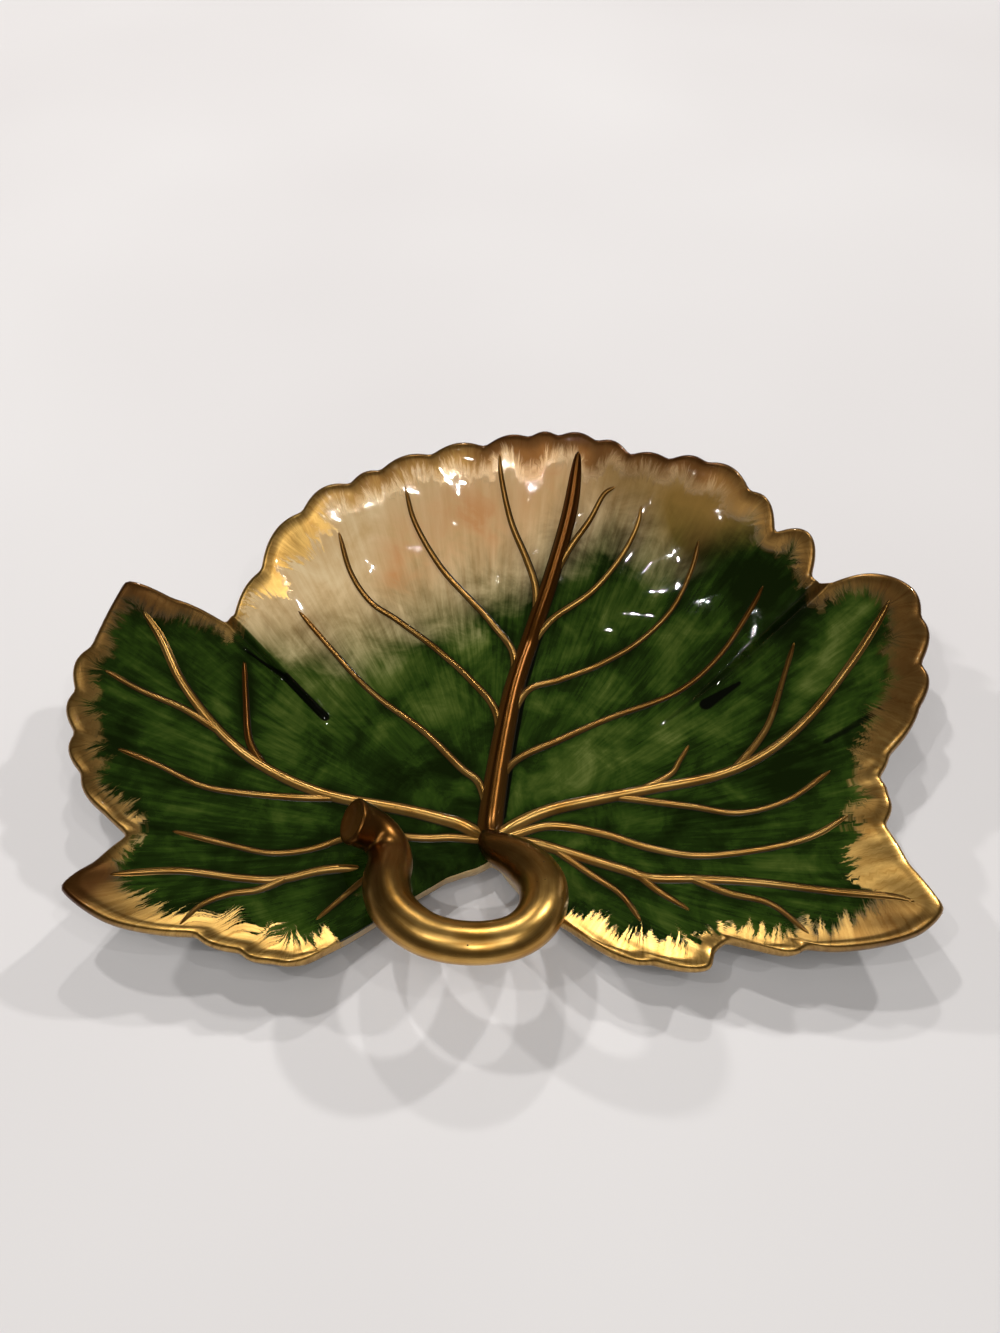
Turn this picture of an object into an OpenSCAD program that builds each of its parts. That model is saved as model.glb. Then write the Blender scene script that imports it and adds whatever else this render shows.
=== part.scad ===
// Leaf dish: a five-lobed vine leaf on a foot ring, with raised veins laid on as coils and a thick
// stalk rolled round into a finger loop. Millimetres, +Z up. The origin is the centre of the foot's
// resting face; -Y is the side of the finger loop, and +Y the side of the raised back lobe.

/* [Leaf] */
// Width that the side lobes span, from which every reach of the outline is taken
leaf_w = 280; // [240:1:320]
// Thickness of the fired wall in the well
wall_t = 4; // [3:0.1:5]
// Thickness of the rounded rim
rim_t = 3.4; // [2.4:0.1:4]
// How far the vein junction lies in front of the foot's centre
junction_front = 38; // [34:0.5:42]
// How far the vein junction lies to the left of the foot's centre
junction_left = 7; // [0:0.5:12]

/* [Bowl] */
// Rise of the back wall above the well
back_rise = 52; // [40:0.5:60]
// Height by which the back lobe stands over the side lobes beside it
lobe_step = 5; // [2:0.1:7]

/* [Foot] */
// Outer radius of the foot ring
foot_r = 36; // [30:0.5:38]
// Height of the foot ring
foot_h = 3.5; // [2.5:0.1:6]
// Width of the foot ring's resting face
foot_face_w = 3; // [2:0.1:5]
// Slope of the foot ring's two sides, as the width that each adds from face to leaf
foot_flare = 1; // [0.5:0.1:2]

/* [Veins] */
// Width of the midrib at its root
midrib_w = 6; // [4:0.1:6.5]
// Width of a main rib at its root
rib_w = 3.8; // [2.4:0.1:4]
// Width of a side vein at its root
side_vein_w = 2.6; // [1.4:0.1:3]
// Clearance between a coil and the leaf that it lies on
seat_gap = 0.35; // [0.2:0.01:0.4]

/* [Finger loop] */
// Width of the loop, from centre to centre of the stalk
loop_w = 43; // [38:0.5:48]
// Rise of the loop's front above its root
loop_lift = 18; // [12:0.5:26]
// Thickness of the stalk across the loop
stalk_w = 14; // [11:0.1:15]
// Thickness of the stalk from its upper to its lower side
stalk_t = 12; // [9:0.1:13]

/* [Hidden] */

green = [0.20, 0.30, 0.13];
gold = [0.66, 0.48, 0.20];
biscuit = [0.80, 0.76, 0.68];

// Reach that a share of 1 stands for in the outline and in the veins
reach = leaf_w / 2;
junction = [-junction_left, -junction_front];
// The well is flat to a little outside the foot, and the wall rises from there; at this share of the
// reach it has its full rise
bowl_share = 0.86;
floor_r = foot_r + wall_t / 2;
bowl_r = bowl_share * reach;
well_z = foot_h + wall_t;
// Sharpness with which the wall turns up out of the well
wall_power = 1.5;
// Step used to measure a slope of the leaf
probe = wall_t / 10;

// Rise of the wall round the foot's centre: bearing, and share of the back wall's rise
rise_shares = [
    [-150, 0.23], [-120, 0.29], [-60, 0.29], [-30, 0.23], [0, 0.31], [25, 0.50], [50, 0.81],
    [75, 0.96], [100, 1], [125, 0.92], [145, 0.73], [160, 0.46], [180, 0.27]];

// Outline round the vein junction, anticlockwise from the notch of the stalk: bearing and reach of
// each notch or corner, and how far the edge swells between it and the next one
outline_shares = [
    [-69, 0.07, 0], [-63, 0.12, 0], [-56, 0.20, 0], [-51, 0.265, 0], [-47, 0.365, 0.01],
    [-41, 0.43, 0.015], [-34, 0.53, 0], [-30, 0.52, 0], [-26.5, 0.535, 0], [-25, 0.645, 0.01],
    [-22.5, 0.675, 0], [-21.5, 0.73, 0.01], [-16, 0.88, 0.005], [-12, 0.925, 0], [-6, 0.87, 0],
    [0.5, 0.84, 0.01], [5, 0.865, 0.005], [8, 0.86, 0.005], [11, 0.90, 0.01], [16, 1.005, 0.02],
    [21, 1.055, 0.02], [26, 1.115, 0.01], [30, 1.14, 0.005], [34, 1.10, 0.005], [36.5, 1.03, 0],
    [37.3, 0.985, 0], [38.6, 0.985, 0.055], [46.5, 1.01, 0.025], [52.5, 1.055, 0.018],
    [59.5, 1.07, 0.012], [64.5, 1.05, 0.01], [70, 1.035, 0.014], [75, 1.045, 0.012],
    [80.5, 1.04, 0.01], [84.5, 1.03, 0.012], [91, 1.005, 0.014], [99, 0.99, 0.013],
    [107, 0.97, 0.01], [112, 0.955, 0.02], [120.5, 0.925, 0.02], [131, 0.85, 0.01],
    [139.4, 0.81, 0], [140.4, 0.83, 0.01], [143.5, 0.95, 0.01], [146, 1.045, 0],
    [155.5, 1.015, 0.02], [161.5, 0.99, 0.02], [167, 0.945, 0.02], [172.5, 0.895, 0.015],
    [178, 0.825, 0], [181.5, 0.765, 0], [186.5, 0.82, 0.005], [190, 0.875, 0.005],
    [196, 0.79, 0.01], [202, 0.63, 0.012], [208.5, 0.56, 0.012], [214, 0.515, 0.008],
    [218.2, 0.465, 0], [219.4, 0.38, 0], [220.8, 0.21, 0], [224, 0.135, 0], [234, 0.098, 0],
    [252, 0.072, 0], [274, 0.052, 0]];
outline_steps = 4;
top_rings = 13;
under_rings = 6;
// Rings of the leaf crowd towards its edge, where the wall bends, by this power of their share
ring_power = 0.75;
// Corners of the rim's half round, as turns of its section from the upper face
rim_turns = [30, 90, 150];

// The back lobe lies between these two bearings of the junction, where its edge steps down to the
// side lobes; the step fades in between two reaches and fades out towards the middle of the lobe
step_right_angle = 37;
step_left_angle = 140;
step_spread_angle = 1;
step_fade_angle = 30;
step_reach_shares = [0.43, 0.86];

// Routes of the veins on the leaf, from the junction: shares of the reach to the right and to the back
midrib_shares = [[0, 0.05], [0.02, 0.21], [0.055, 0.41], [0.105, 0.585], [0.15, 0.71], [0.20, 0.86],
    [0.222, 0.98]];
rib_left_shares = [[-0.06, 0.04], [-0.11, 0.057], [-0.20, 0.08], [-0.355, 0.107], [-0.47, 0.15],
    [-0.565, 0.207], [-0.645, 0.28], [-0.72, 0.37], [-0.77, 0.457], [-0.815, 0.515]];
rib_left_second_shares = [[-0.08, 0.01], [-0.143, 0.007], [-0.257, 0.012], [-0.315, 0],
    [-0.385, -0.03], [-0.465, -0.043], [-0.55, -0.03], [-0.67, -0.007]];
rib_lower_left_shares = [[-0.085, -0.02], [-0.17, -0.04], [-0.265, -0.065], [-0.355, -0.08],
    [-0.435, -0.105], [-0.515, -0.107], [-0.635, -0.10], [-0.765, -0.12]];
rib_right_shares = [[0.06, 0.045], [0.135, 0.08], [0.245, 0.107], [0.36, 0.13], [0.515, 0.157],
    [0.63, 0.207], [0.73, 0.285], [0.835, 0.40], [0.905, 0.49], [0.935, 0.535]];
rib_right_second_shares = [[0.13, 0.04], [0.243, 0.02], [0.343, -0.02], [0.443, -0.043],
    [0.571, -0.036], [0.68, -0.014], [0.765, 0.03]];
rib_lower_right_shares = [[0.08, 0], [0.15, -0.02], [0.28, -0.07], [0.336, -0.093],
    [0.436, -0.10], [0.557, -0.114], [0.693, -0.143], [0.80, -0.164], [0.843, -0.179]];
midrib_vein_shares = [
    [[-0.025, 0.145], [-0.07, 0.19], [-0.165, 0.295], [-0.295, 0.40], [-0.385, 0.485], [-0.465, 0.56]],
    [[0.012, 0.34], [-0.05, 0.435], [-0.13, 0.52], [-0.23, 0.585], [-0.30, 0.62], [-0.35, 0.68],
        [-0.38, 0.765]],
    [[0.052, 0.525], [-0.005, 0.61], [-0.055, 0.66], [-0.13, 0.73], [-0.195, 0.82], [-0.22, 0.895]],
    [[0.112, 0.69], [0.09, 0.757], [0.05, 0.84], [0.025, 0.93], [0.02, 0.98]],
    [[0.05, 0.20], [0.165, 0.265], [0.305, 0.335], [0.45, 0.385], [0.545, 0.455], [0.62, 0.55],
        [0.655, 0.605]],
    [[0.085, 0.40], [0.165, 0.435], [0.265, 0.48], [0.365, 0.53], [0.445, 0.595], [0.495, 0.68],
        [0.515, 0.745]],
    [[0.15, 0.61], [0.25, 0.67], [0.32, 0.735], [0.365, 0.80], [0.38, 0.85]],
    [[0.197, 0.775], [0.25, 0.835], [0.285, 0.885], [0.315, 0.90]]];
left_vein_shares = [
    [[-0.55, 0.235], [-0.57, 0.335], [-0.585, 0.435]],
    [[-0.675, 0.285], [-0.72, 0.305], [-0.80, 0.33], [-0.88, 0.365]],
    [[-0.42, 0.098], [-0.55, 0.10], [-0.635, 0.11], [-0.73, 0.15], [-0.82, 0.18]]];
lower_left_vein_shares = [
    [[-0.475, -0.132], [-0.53, -0.145], [-0.58, -0.175], [-0.61, -0.22]],
    [[-0.26, -0.095], [-0.31, -0.15], [-0.35, -0.195]]];
right_vein_shares = [
    [[0.605, 0.23], [0.645, 0.29], [0.69, 0.40], [0.72, 0.475]],
    [[0.405, 0.165], [0.43, 0.20], [0.457, 0.243]],
    [[0.345, 0.10], [0.443, 0.08], [0.543, 0.057], [0.65, 0.08], [0.75, 0.143]]];
lower_right_vein_shares = [
    [[0.49, -0.135], [0.571, -0.165], [0.63, -0.235]],
    [[0.21, -0.077], [0.271, -0.129], [0.307, -0.193]],
    [[0.35, -0.125], [0.407, -0.171]]];
// Each vein thins to this share of its width at its tip, and rises by this share of its width
vein_tip_share = 0.5;
vein_rise_share = 0.42;
// Ends of a coil are drawn in to this share of its width
coil_end_share = 0.55;
vein_sides = 8;
route_steps = 3;

// The stalk's route from the junction: shares of the loop's width to the right and to the back, share
// of its lift, and share of its thickness; the first two rows rest on the leaf
stalk_shares = [
    [-0.01, 0.06, 0, 0.34], [0.01, -0.05, 0, 0.62], [0.105, -0.14, 0.11, 0.80], [0.24, -0.26, 0.28, 0.94],
    [0.35, -0.47, 0.50, 1], [0.32, -0.72, 0.78, 0.95], [0.16, -0.89, 0.94, 0.86],
    [-0.11, -0.94, 1, 0.82], [-0.39, -0.87, 0.93, 0.86], [-0.605, -0.68, 0.79, 0.94],
    [-0.67, -0.47, 0.61, 0.98], [-0.662, -0.33, 0.44, 0.97]];
// Its turned-up end, from the bend that rests on the ribs: the same shares to the right and to the
// back, rise over the bend as a share of the stalk's thickness, and share of its thickness
stalk_end_shares = [
    [-0.674, -0.21, 0.02, 0.93], [-0.712, -0.115, 0.02, 0.89], [-0.776, -0.058, 0.13, 0.88],
    [-0.85, -0.038, 0.32, 0.89], [-0.925, -0.035, 0.57, 0.92]];
stalk_sides = 16;

// Helpers: vectors, smooth curves and faces

function unit(v) = v / norm(v);
function smooth(t) = let (u = min(max(t, 0), 1)) u * u * (3 - 2 * u);
function mix(a, b, t) = a + (b - a) * t;
function turned(b) = [cos(b), sin(b)];
function bearing_of(p) = atan2(p.y, p.x);

// Cubic between b and c of four knots, each a place and a value, with the slopes of its neighbours
function knot_curve(a, b, c, d, x) =
    let (
        w = c[0] - b[0],
        t = (x - b[0]) / w,
        m0 = (c[1] - a[1]) / (c[0] - a[0]) * w,
        m1 = (d[1] - b[1]) / (d[0] - b[0]) * w)
    b[1] + t * m0 + t * t * (3 * (c[1] - b[1]) - 2 * m0 - m1)
        + t * t * t * (2 * (b[1] - c[1]) + m0 + m1);

// Value at a bearing from rows of [bearing, value] that go once round
function round_table(rows, bearing) =
    let (
        n = len(rows),
        b = bearing < rows[0][0] ? bearing + 360 : bearing,
        i = len([for (r = rows) if (r[0] <= b) 1]) - 1,
        before = i > 0 ? rows[i - 1] : rows[n - 1] - [360, 0],
        after = i + 1 < n ? rows[i + 1] : rows[0] + [360, 0],
        beyond = i + 2 < n ? rows[i + 2] : rows[(i + 2) % n] + [360, 0])
    knot_curve(before, rows[i], after, beyond, b);

// Points along a smooth curve through the given ones, with a number of steps between each two
function smooth_route(points, steps) =
    let (n = len(points))
    concat(
        [for (i = [0 : n - 2], s = [0 : steps - 1])
            let (
                t = s / steps,
                b = points[i],
                c = points[i + 1],
                a = i > 0 ? points[i - 1] : 2 * b - c,
                d = i + 2 < n ? points[i + 2] : 2 * c - b)
            (2 * b + (c - a) * t + (2 * a - 5 * b + 4 * c - d) * t * t
                + (3 * b - a - 3 * c + d) * t * t * t) / 2],
        [points[n - 1]]);

// Direction of travel at each point of a route
function headings(route) =
    let (last = len(route) - 1)
    [for (i = [0 : last]) unit(route[min(i + 1, last)] - route[max(i - 1, 0)])];

// Triangles that skin rings of points laid one after the other, and close both ends on two last points
function ring_faces(rings, sides) =
    let (first_end = rings * sides, last_end = first_end + 1, last_ring = (rings - 1) * sides)
    concat(
        [for (i = [0 : rings - 2], j = [0 : sides - 1])
            let (
                a = i * sides + j,
                b = i * sides + (j + 1) % sides,
                c = a + sides,
                d = b + sides)
            each [[a, b, d], [a, d, c]]],
        [for (j = [0 : sides - 1]) [first_end, (j + 1) % sides, j]],
        [for (j = [0 : sides - 1]) [last_end, last_ring + j, last_ring + (j + 1) % sides]]);

// The leaf as a surface

// Height of the bowl at a plan point, without the step beside the back lobe
function bowl_z(p) =
    let (t = max(norm(p) - floor_r, 0) / (bowl_r - floor_r))
    well_z + back_rise * round_table(rise_shares, bearing_of(p)) * pow(t, wall_power);

// Lift of the back lobe at a plan point
function step_lift(p) =
    let (
        q = p - junction,
        b = bearing_of(q),
        inside = smooth((b - step_right_angle) / step_spread_angle / 2 + 0.5)
            * smooth((step_left_angle - b) / step_spread_angle / 2 + 0.5),
        outward = smooth((norm(q) / reach - step_reach_shares[0])
            / (step_reach_shares[1] - step_reach_shares[0])),
        middle = smooth(min(b - step_right_angle, step_left_angle - b) / step_fade_angle))
    lobe_step * inside * outward * (1 - middle);

function leaf_z(p) = bowl_z(p) + step_lift(p);
function on_leaf(p) = [p.x, p.y, leaf_z(p)];

// Slope of the bowl at a plan point, and the direction square to it
function bowl_slope(p) = [
    (bowl_z(p + [probe, 0]) - bowl_z(p - [probe, 0])) / (2 * probe),
    (bowl_z(p + [0, probe]) - bowl_z(p - [0, probe])) / (2 * probe)];
function bowl_normal(p) = let (s = bowl_slope(p)) unit([-s.x, -s.y, 1]);

// Corners of the outline as [bearing, reach], with the swelling between two notches worked out
function outline() =
    let (n = len(outline_shares))
    [for (i = [0 : n - 1], s = [0 : outline_steps - 1])
        let (
            t = s / outline_steps,
            a = outline_shares[i],
            b = i + 1 < n ? outline_shares[i + 1] : outline_shares[0] + [360, 0, 0])
        [mix(a[0], b[0], t), reach * (mix(a[1], b[1], t) + 4 * a[2] * t * (1 - t))]];

// Plan point at a share of the way from the junction to the inner line of the rim
function leaf_plan(corner, share) = junction + turned(corner[0]) * (corner[1] - rim_t / 2) * share;

function rim_point(corner, turn) =
    let (
        p = leaf_plan(corner, 1),
        d = turned(corner[0]),
        out = unit([d.x, d.y, d * bowl_slope(p)]))
    on_leaf(p) + out * sin(turn) * rim_t / 2 - bowl_normal(p) * (1 - cos(turn)) * rim_t / 2;

function under_point(p, share) = on_leaf(p) - bowl_normal(p) * mix(wall_t, rim_t, smooth(3 * share - 2));

module leaf_body() {
    corners = outline();
    points = concat(
        [for (i = [1 : top_rings], c = corners) on_leaf(leaf_plan(c, pow(i / top_rings, ring_power)))],
        [for (turn = rim_turns, c = corners) rim_point(c, turn)],
        [for (i = [under_rings : -1 : 1], c = corners)
            under_point(leaf_plan(c, i / under_rings), i / under_rings)],
        [on_leaf(junction), under_point(junction, 0)]);
    color(green)
        polyhedron(points, ring_faces(top_rings + len(rim_turns) + under_rings, len(corners)));
}

// A foot ring turned to stand under the flat of the well
module foot_ring() {
    inner_r = foot_r - foot_face_w - 2 * foot_flare;
    color(biscuit)
        rotate_extrude($fn = 96)
            polygon([
                [inner_r, foot_h], [foot_r, foot_h],
                [foot_r - foot_flare, 0], [inner_r + foot_flare, 0]]);
}

// Rings of points for a coil of clay pressed on the leaf: flat against it below, half round above
function coil_rings(route, root_w) =
    let (last = len(route) - 1, ahead = headings(route))
    [for (i = [0 : last])
        let (
            c = route[i],
            across = [ahead[i].y, -ahead[i].x],
            end = i == 0 || i == last ? coil_end_share : 1,
            half_w = root_w / 2 * mix(1, vein_tip_share, i / last) * end,
            n = bowl_normal(c))
        each [for (j = [0 : vein_sides - 1])
            let (
                turn = j < vein_sides - 2 ? 180 * j / (vein_sides - 3) : 0,
                lean = j < vein_sides - 2 ? cos(turn) : (j == vein_sides - 2 ? -1 : 1) / 3)
            on_leaf(c + across * half_w * lean)
                + n * (seat_gap + 2 * half_w * vein_rise_share * sin(turn))]];

module coil(shares, root_w) {
    route = [for (p = smooth_route(shares, route_steps)) junction + reach * p];
    last = route[len(route) - 1];
    rise = seat_gap + root_w * vein_rise_share * coil_end_share / 2;
    tip_rise = mix(seat_gap, rise, vein_tip_share);
    points = concat(
        coil_rings(route, root_w),
        [on_leaf(route[0]) + bowl_normal(route[0]) * rise, on_leaf(last) + bowl_normal(last) * tip_rise]);
    color(gold)
        polyhedron(points, ring_faces(len(route), vein_sides));
}

module midrib() {
    coil(midrib_shares, midrib_w);
}

module rib(shares) {
    coil(shares, rib_w);
}

module side_vein(shares) {
    coil(shares, side_vein_w);
}

// Middle line of the stalk: its root rests on the leaf, and the bend before its end on the ribs
function stalk_rest(p, row) = leaf_z(p) + seat_gap + row[3] * stalk_t / 2;
function stalk_plan(row) = junction + loop_w * [row[0], row[1]];
function stalk_line() =
    let (
        bend = stalk_end_shares[0],
        root_z = stalk_rest(stalk_plan(stalk_shares[1]), stalk_shares[1]),
        bend_z = stalk_rest(stalk_plan(bend), bend) + seat_gap + rib_w * vein_rise_share)
    concat(
        [for (i = [0 : len(stalk_shares) - 1])
            let (
                row = stalk_shares[i],
                p = stalk_plan(row))
            [p.x, p.y, i < 2 ? stalk_rest(p, row) : root_z + loop_lift * row[2], row[3]]],
        [for (row = stalk_end_shares)
            let (p = stalk_plan(row))
            [p.x, p.y, bend_z + stalk_t * row[2], row[3]]]);

module stem_handle() {
    line = smooth_route(stalk_line(), route_steps);
    route = [for (p = line) [p[0], p[1], p[2]]];
    ahead = headings(route);
    last = len(route) - 1;
    rings = [for (i = [0 : last])
        let (
            across = unit(cross(ahead[i], [0, 0, 1])),
            up = cross(across, ahead[i]))
        each [for (j = [0 : stalk_sides - 1])
            let (turn = 360 * j / stalk_sides)
            route[i] + across * line[i][3] * stalk_w / 2 * cos(turn)
                + up * line[i][3] * stalk_t / 2 * sin(turn)]];
    color(gold)
        polyhedron(concat(rings, [route[0], route[last]]), ring_faces(last + 1, stalk_sides));
}

leaf_body();
foot_ring();
stem_handle();
midrib();
rib(rib_left_shares);  // rib_left
rib(rib_left_second_shares);  // rib_left_second
rib(rib_lower_left_shares);  // rib_lower_left
rib(rib_right_shares);  // rib_right
rib(rib_right_second_shares);  // rib_right_second
rib(rib_lower_right_shares);  // rib_lower_right
side_vein(midrib_vein_shares[0]);  // midrib_vein_l1
side_vein(midrib_vein_shares[1]);  // midrib_vein_l2
side_vein(midrib_vein_shares[2]);  // midrib_vein_l3
side_vein(midrib_vein_shares[3]);  // midrib_vein_l4
side_vein(midrib_vein_shares[4]);  // midrib_vein_r1
side_vein(midrib_vein_shares[5]);  // midrib_vein_r2
side_vein(midrib_vein_shares[6]);  // midrib_vein_r3
side_vein(midrib_vein_shares[7]);  // midrib_vein_r4
side_vein(left_vein_shares[0]);  // left_vein_1
side_vein(left_vein_shares[1]);  // left_vein_2
side_vein(left_vein_shares[2]);  // left_vein_3
side_vein(lower_left_vein_shares[0]);  // lower_left_vein_1
side_vein(lower_left_vein_shares[1]);  // lower_left_vein_2
side_vein(right_vein_shares[0]);  // right_vein_1
side_vein(right_vein_shares[1]);  // right_vein_2
side_vein(right_vein_shares[2]);  // right_vein_3
side_vein(lower_right_vein_shares[0]);  // lower_right_vein_1
side_vein(lower_right_vein_shares[1]);  // lower_right_vein_2
side_vein(lower_right_vein_shares[2]);  // lower_right_vein_3
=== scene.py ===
"""Leaf dish: a glazed and gilded vine leaf on a turned foot, with raised veins and a rolled stalk.

The leaf is one height over the table at each plan point, worked out from the same tables as the
solids. Every piece is a numpy surface in millimetres and goes into its mesh in metres, in the
solids' frame.
"""
import math

import bpy
import numpy as np
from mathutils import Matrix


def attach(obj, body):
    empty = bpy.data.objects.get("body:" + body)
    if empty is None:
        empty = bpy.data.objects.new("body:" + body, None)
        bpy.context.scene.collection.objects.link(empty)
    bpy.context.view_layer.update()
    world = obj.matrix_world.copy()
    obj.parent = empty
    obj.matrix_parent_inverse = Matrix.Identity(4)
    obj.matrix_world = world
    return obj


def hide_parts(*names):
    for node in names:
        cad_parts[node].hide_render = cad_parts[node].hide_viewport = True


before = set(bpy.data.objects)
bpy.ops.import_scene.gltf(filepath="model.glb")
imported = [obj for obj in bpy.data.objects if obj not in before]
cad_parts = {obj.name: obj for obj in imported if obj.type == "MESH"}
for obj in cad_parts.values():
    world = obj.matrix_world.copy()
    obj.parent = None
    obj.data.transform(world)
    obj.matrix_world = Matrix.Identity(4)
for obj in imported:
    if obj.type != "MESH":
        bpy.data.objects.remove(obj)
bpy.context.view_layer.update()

# Sizes in millimetres, as the solids have them
METRE = 0.001
REACH = 140.0
JUNCTION = np.array([-7.0, -38.0])
WALL_T, RIM_T = 4.0, 3.4
FLOOR_R, BOWL_R = 38.0, 0.86 * REACH
WELL_Z = 7.5
BACK_RISE, WALL_POWER = 52.0, 1.5
LOBE_STEP = 5.0
FOOT_R, FOOT_H, FOOT_FACE, FOOT_FLARE = 36.0, 3.5, 3.0, 1.0
MIDRIB_W, RIB_W, SIDE_W = 6.0, 3.8, 2.6
VEIN_RISE = 0.42
LOOP_W, LOOP_LIFT, STALK_W, STALK_T = 43.0, 18.0, 14.0, 12.0
SEAT = 0.35

# Bearing at which the rim's tables start and end, round the vein junction
FIRST, LAST = -69, 291

# The steps where the back lobe stands over its neighbours: their bearings, the reach share where
# they begin and over which they grow, and the degrees over which they fade into the lobe
STEP_RIGHT, STEP_LEFT = 37.0, 140.0
STEP_FROM, STEP_FADE = 0.43, 30

# Rise of the wall round the foot's centre: bearing, share of the back wall's rise
RISE = [(-150, 0.23), (-120, 0.29), (-60, 0.29), (-30, 0.23), (0, 0.31), (25, 0.50), (50, 0.81),
        (75, 0.96), (100, 1), (125, 0.92), (145, 0.73), (160, 0.46), (180, 0.27)]

# Outline round the junction: bearing of each notch, its reach in thousandths of REACH, and in the
# same the swell up to the next notch
OUTLINE = [
    (-69, 70, 0), (-63, 120, 0), (-56, 200, 0), (-51, 265, 0), (-47, 365, 10), (-41, 430, 15),
    (-34, 530, 0), (-30, 520, 0), (-26.5, 535, 0), (-25, 645, 10), (-22.5, 675, 0),
    (-21.5, 730, 10), (-16, 880, 5), (-12, 925, 0), (-6, 870, 0), (0.5, 840, 10), (5, 865, 5),
    (8, 860, 5), (11, 900, 10), (16, 1005, 20), (21, 1055, 20), (26, 1115, 10), (30, 1140, 5),
    (34, 1100, 5), (36.5, 1030, 0), (37.3, 985, 0), (38.6, 985, 55), (46.5, 1010, 25),
    (52.5, 1055, 18), (59.5, 1070, 12), (64.5, 1050, 10), (70, 1035, 14), (75, 1045, 12),
    (80.5, 1040, 10), (84.5, 1030, 12), (91, 1005, 14), (99, 990, 13), (107, 970, 10),
    (112, 955, 20), (120.5, 925, 20), (131, 850, 10), (139.4, 810, 0), (140.4, 830, 10),
    (143.5, 950, 10), (146, 1045, 0), (155.5, 1015, 20), (161.5, 990, 20), (167, 945, 20),
    (172.5, 895, 15), (178, 825, 0), (181.5, 765, 0), (186.5, 820, 5), (190, 875, 5),
    (196, 790, 10), (202, 630, 12), (208.5, 560, 12), (214, 515, 8), (218.2, 465, 0),
    (219.4, 380, 0), (220.8, 210, 0), (224, 135, 0), (234, 98, 0), (252, 72, 0), (274, 52, 0)]

# Width of the brushed gilding in from the rim, by the bearing of the rim; none beside the stalk
GILT = [
    (-69, -12), (-56, -12), (-53, 0), (-51, 5), (-47, 6), (-41, 6), (-34, 5), (-30, 6), (-28, 3),
    (-26, 2.5), (-23.5, 5.5), (-22, 2.5), (-20, 8), (-16, 12), (-12, 15), (-6, 16), (-2, 13),
    (0.5, 9), (5, 6), (8, 6.5), (12, 9), (16, 10), (20, 9), (23, 8.5), (28, 9.5), (33, 7.5),
    (36, 2.5), (38, 4), (41, 6.5), (46.5, 4.8), (50, 5.5), (55.7, 8), (60, 7), (64.5, 5),
    (70, 4.5), (75, 8.5), (80.5, 5.5), (84.5, 10), (89, 5), (92, 8), (98, 5), (104, 6.2),
    (110, 6.5), (115, 4.5), (119, 5), (121, 9), (125, 11), (129, 9), (133, 5), (138, 2),
    (140, 1.5), (142, 3.5), (144.2, 6.5), (147, 4), (150, 2.5), (154, 3.5), (157, 5.5), (162, 5),
    (165.3, 4), (167.5, 6.5), (172, 5), (176, 3.8), (180, 3.6), (182, 2), (185, 6), (188, 11),
    (192, 15), (195, 9), (198, 6.6), (201.5, 3), (203.4, 6), (208, 8), (213, 6.5), (217.5, 5),
    (219.2, 3), (219.8, -12), (274, -12)]

# Share of brown in the gilding along the rim, by bearing: brown gold, and painted shade where the
# gold would mirror the dim room; nearly none where it was laid on thickly, which paints a highlight
BROWN_GOLD_AND_SHADE = [
    (-69, 0.1), (-30, 0.05), (-24, 0.2), (-18, 0.75), (-13, 0.5), (-8, 0.1), (-2, 0.05), (3, 0.6),
    (8, 0.4), (11, 0.5), (15, 0.8), (22, 0.85), (34, 0.85), (38, 0.7), (50, 0.75), (60, 1),
    (90, 1), (95, 0.75), (110, 0.8), (117, 0.6), (121, 0.1), (138, 0), (141, 0.8), (146, 1),
    (150, 0.9), (158, 0.55), (175, 0.6), (183, 0.4), (186, 1), (193, 1), (196, 0.6), (200, 0.1),
    (274, 0.2)]

# Reach share at which the cream wash of the back lobe begins, by bearing
CREAM = [
    (40, 1.5), (46, 1.13), (52, 1.0), (55, 0.95), (60, 0.94), (66, 0.95), (70, 0.94), (73, 0.91),
    (77, 0.88), (80, 0.84), (83, 0.79), (90, 0.76), (97.6, 0.715), (103, 0.705), (111, 0.69),
    (118.5, 0.685), (128.8, 0.70), (134, 0.73), (138.2, 0.77), (139.4, 0.81), (140.3, 1.5)]

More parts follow.
